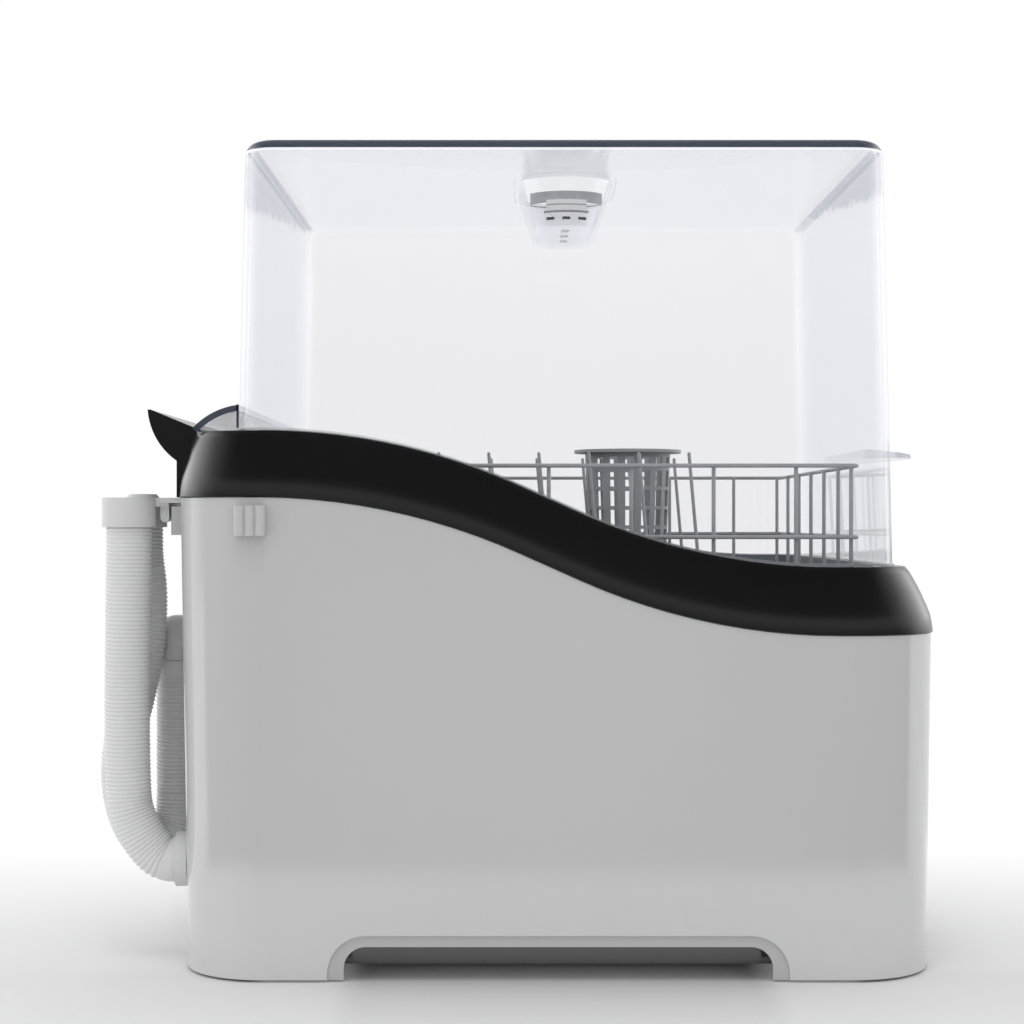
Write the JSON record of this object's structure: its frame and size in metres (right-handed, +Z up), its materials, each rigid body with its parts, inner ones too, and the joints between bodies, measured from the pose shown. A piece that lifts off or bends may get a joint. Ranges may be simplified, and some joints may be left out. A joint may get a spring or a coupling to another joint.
{
  "type": "countertop dishwasher",
  "caption": "Countertop dishwasher with a light moulded body, black wave rim, clear rear-hinged lid, lift-out wire basket with cutlery cup, and two corrugated hoses.",
  "frame": {"origin": "on the worktop, under the middle of the box round the whole machine without its hoses", "axes": "+X towards the front of the machine, where the lid lifts; -X is the rear with the hinge and the hoses; +Z up"},
  "size_m": [0.4995, 0.425, 0.4685],
  "materials": {
    "body_plastic": "satin moulded",
    "black_gloss": "gloss moulded",
    "clear_plastic": "clear, polished",
    "tub_plastic": "moulded",
    "grey_plastic": "moulded",
    "dark_plastic": "moulded",
    "fitting_plastic": "moulded",
    "button_plastic": "satin",
    "light_pipe": "clear",
    "hose_plastic": "corrugated",
    "coated_wire": "plastic-coated",
    "steel": "brushed",
    "rubber": "matte",
    "board": "lacquered"
  },
  "bodies": {
    "machine": {"body_shell": "body_plastic", "rim": "black_gloss", "hinge_housing": "black_gloss", "hinge_pins": "steel", "lid_seal": "rubber", "base_tray": "body_plastic", "feet": "rubber", "base_screws": "steel", "hose_hooks": "body_plastic", "tub": "tub_plastic", "sump": "dark_plastic", "sump_filter": "steel", "spray_post": "dark_plastic", "spray_nut": "dark_plastic", "wash_pump": "dark_plastic", "flow_heater": "steel", "drain_pump": "dark_plastic", "pump_pipes": "rubber", "inlet_valve": "fitting_plastic", "drain_outlet": "fitting_plastic", "inlet_elbow": "fitting_plastic", "hose_bracket": "fitting_plastic", "collar_cap": "fitting_plastic", "control_panel": "black_gloss", "control_board": "board", "light_pipes": "light_pipe", "drain_hose": "hose_plastic", "inlet_hose": "hose_plastic"},
    "lid_body": {"lid": "clear_plastic", "hinge_bar": "black_gloss", "lid_grip": "clear_plastic", "lid_tab": "clear_plastic"},
    "basket_body": {"basket": "coated_wire"},
    "cup_body": {"cutlery_cup": "grey_plastic"},
    "arm_body": {"spray_arm": "grey_plastic"},
    "power_body": {"power_button": "button_plastic"},
    "program_body": {"program_button": "button_plastic"},
    "start_body": {"start_button": "button_plastic"}
  },
  "joints": [
    {"name": "lid_hinge", "type": "hinge", "parent": "machine", "child": "lid_body", "pos_m": [-0.1949, 0, 0.29], "axis": [0, -1, 0], "range_deg": [0, 72]},
    {"name": "basket_lift", "type": "slide", "parent": "machine", "child": "basket_body", "axis": [0, 0, 1], "range_m": [0, 0.06]},
    {"name": "cup_lift", "type": "slide", "parent": "basket_body", "child": "cup_body", "axis": [0, 0, 1], "range_m": [0, 0.06]},
    {"name": "spray_arm_spin", "type": "hinge", "parent": "machine", "child": "arm_body", "pos_m": [0.019, 0, 0.14], "axis": [0, 0, 1], "continuous": true},
    {"name": "power_press", "type": "slide", "parent": "machine", "child": "power_body", "axis": [-0.9999, 0, 0.016], "range_m": [0, 0.0008], "stiffness_N_per_m": 1000, "springref_m": -0.0005},
    {"name": "program_press", "type": "slide", "parent": "machine", "child": "program_body", "axis": [-0.9999, 0, 0.016], "range_m": [0, 0.0008], "stiffness_N_per_m": 1000, "springref_m": -0.0005},
    {"name": "start_press", "type": "slide", "parent": "machine", "child": "start_body", "axis": [-0.9999, 0, 0.016], "range_m": [0, 0.0008], "stiffness_N_per_m": 1000, "springref_m": -0.0005}
  ]
}
